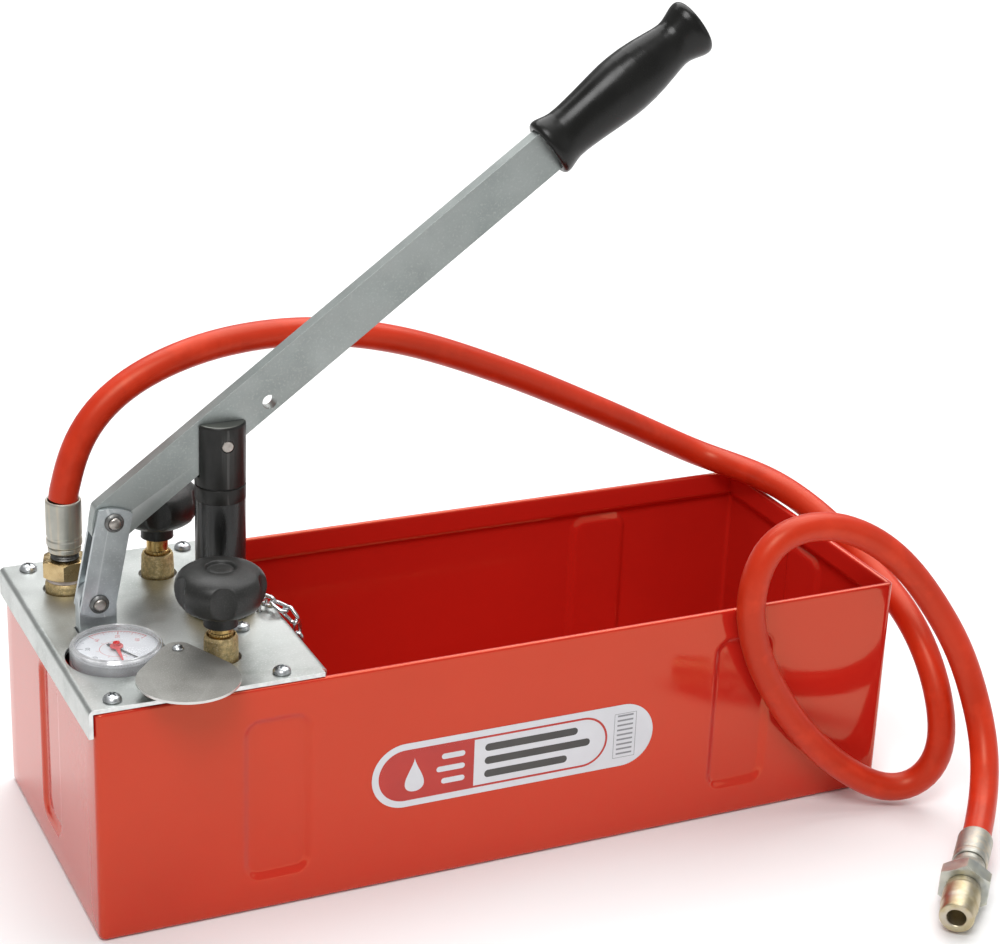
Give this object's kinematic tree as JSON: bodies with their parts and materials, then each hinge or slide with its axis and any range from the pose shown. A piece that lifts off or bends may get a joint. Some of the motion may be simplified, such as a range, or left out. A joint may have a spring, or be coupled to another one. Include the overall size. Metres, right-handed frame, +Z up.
{
  "type": "hydraulic hand pump",
  "caption": "Hand-lever pressure test pump: plunger pump, two valves and a gauge on the end of an open red sheet-metal water tank, with a flexible outlet hose.",
  "frame": {"origin": "centre of the tank's flat underside, on the floor", "axes": "+X along the tank from the pump head towards the open end, +Y towards the rear wall, +Z up"},
  "size_m": [0.5267, 0.3675, 0.4607],
  "materials": {
    "red_paint": "glossy powder coat over pressed sheet",
    "plate_zinc": "galvanised, cloudy satin",
    "zinc": "bright zinc plating, satin",
    "screw_chrome": "bright plating",
    "cast": "rough casting with machined faces",
    "brass": "machined, polished",
    "bronze": "rough machined, dull",
    "yellow_zinc": "yellow zinc plating",
    "steel": "plain machined",
    "pin_steel": "pale grey, ground",
    "spring_steel": "spring steel, dull",
    "satin_steel": "stainless, satin",
    "black_steel": "black oxide, glossy where it slides",
    "grip_plastic": "glossy moulded",
    "knob_plastic": "satin moulded",
    "seal_rubber": "matt nitrile",
    "hose_rubber": "smooth satin cover",
    "washer_nylon": "plain nylon",
    "case_plastic": "moulded",
    "bezel_clear": "clear moulded ring over a grey rim",
    "dial_white": "white printed dial",
    "lens_clear": "clear window",
    "needle_black": "matt black",
    "pointer_red": "moulded red",
    "label_film": "plain printed film"
  },
  "bodies": {
    "pump_body": {"tank_body": "red_paint", "top_plate": "plate_zinc", "plate_screw_1": "screw_chrome", "plate_screw_2": "screw_chrome", "plate_screw_3": "screw_chrome", "plate_screw_4": "screw_chrome", "plate_screw_5": "screw_chrome", "plate_screw_6": "screw_chrome", "pump_manifold": "cast", "pump_barrel": "steel", "gland_seal": "seal_rubber", "gland_nut": "bronze", "suction_valve_body": "brass", "suction_strainer": "steel", "fulcrum_bracket": "zinc", "shutoff_bonnet": "bronze", "relief_bonnet": "bronze", "outlet_boss": "bronze", "outlet_washer": "washer_nylon", "union_nut": "yellow_zinc", "hose_stub": "zinc", "near_ferrule": "zinc", "far_nipple": "yellow_zinc", "far_hex": "yellow_zinc", "far_collar": "zinc", "far_ferrule": "zinc", "hose": "hose_rubber", "gauge_case": "case_plastic", "gauge_bezel": "bezel_clear", "gauge_dial": "dial_white", "gauge_lens": "lens_clear", "gauge_stem": "brass", "cover_post": "zinc", "cover_rivet": "satin_steel", "chain_eye": "screw_chrome", "front_label": "label_film"},
    "link": {"link_plate_front": "zinc", "link_plate_rear": "zinc", "fulcrum_pin": "pin_steel", "fulcrum_clip_front": "spring_steel", "fulcrum_clip_rear": "spring_steel", "link_pin": "pin_steel", "link_clip_front": "spring_steel", "link_clip_rear": "spring_steel"},
    "lever": {"lever_bar": "zinc", "lever_grip": "grip_plastic"},
    "plunger_assembly": {"plunger": "black_steel", "plunger_pin": "pin_steel"},
    "shutoff_stem": {"shutoff_spindle": "brass"},
    "shutoff_handwheel": {"shutoff_knob": "knob_plastic"},
    "relief_stem": {"relief_spindle": "brass"},
    "relief_handwheel": {"relief_knob": "knob_plastic"},
    "needle": {"gauge_needle": "needle_black"},
    "maximum_pointer": {"drag_pointer": "pointer_red"},
    "cover": {"gauge_cover": "satin_steel"},
    "chain": {"lever_chain": "screw_chrome", "chain_hook": "screw_chrome"},
    "inlet_ball": {"suction_ball": "steel"}
  },
  "joints": [
    {"name": "link_swing", "type": "hinge", "parent": "pump_body", "child": "link", "pos_m": [-0.2122, 0, 0.1535], "axis": [0, -1, 0], "range_deg": [-1.5, 15.5]},
    {"name": "lever_swing", "type": "hinge", "parent": "link", "child": "lever", "pos_m": [-0.203, 0, 0.1997], "axis": [0, -1, 0], "range_deg": [-54, 4]},
    {"name": "plunger_stroke", "type": "slide", "parent": "pump_body", "child": "plunger_assembly", "axis": [0, 0, 1], "range_m": [-0.0455, 0.0036]},
    {"name": "shutoff_turn", "type": "hinge", "parent": "shutoff_stem", "child": "shutoff_handwheel", "pos_m": [-0.1604, -0.0572, 0.17], "axis": [0, 0, 1], "range_deg": [-540, 360]},
    {"name": "shutoff_lift", "type": "slide", "parent": "pump_body", "child": "shutoff_stem", "axis": [0, 0, 1], "range_m": [-0.00225, 0.0015]},
    {"name": "relief_turn", "type": "hinge", "parent": "relief_stem", "child": "relief_handwheel", "pos_m": [-0.1604, 0.0572, 0.17], "axis": [0, 0, 1], "range_deg": [-540, 360]},
    {"name": "relief_lift", "type": "slide", "parent": "pump_body", "child": "relief_stem", "axis": [0, 0, 1], "range_m": [-0.00225, 0.0015]},
    {"name": "needle_turn", "type": "hinge", "parent": "pump_body", "child": "needle", "pos_m": [-0.2113, -0.0361, 0.1406], "axis": [0, 0, 1], "range_deg": [-270, 0], "stiffness_Nm_per_rad": 0.00002},
    {"name": "maximum_pointer_turn", "type": "hinge", "parent": "pump_body", "child": "maximum_pointer", "pos_m": [-0.2113, -0.0361, 0.1416], "axis": [0, 0, 1], "range_deg": [-240, 30]},
    {"name": "cover_swing", "type": "hinge", "parent": "pump_body", "child": "cover", "pos_m": [-0.1846, -0.0588, 0.1455], "axis": [0, 0, 1], "range_deg": [-122, 20]},
    {"name": "chain_swing", "type": "hinge", "parent": "pump_body", "child": "chain", "pos_m": [-0.1199, -0.0085, 0.1425], "axis": [-0.766, -0.6428, 0], "range_deg": [0, 92]},
    {"name": "inlet_ball_lift", "type": "slide", "parent": "pump_body", "child": "inlet_ball", "axis": [0, 0, 1], "range_m": [0, 0.0015]}
  ],
  "couplings": [
    {"joint": "link_swing", "follows": "lever_swing", "ratio": -0.28},
    {"joint": "plunger_stroke", "follows": "lever_swing", "m_per_rad": 0.048},
    {"joint": "shutoff_turn", "follows": "shutoff_lift", "rad_per_m": 4188},
    {"joint": "relief_turn", "follows": "relief_lift", "rad_per_m": 4188}
  ]
}
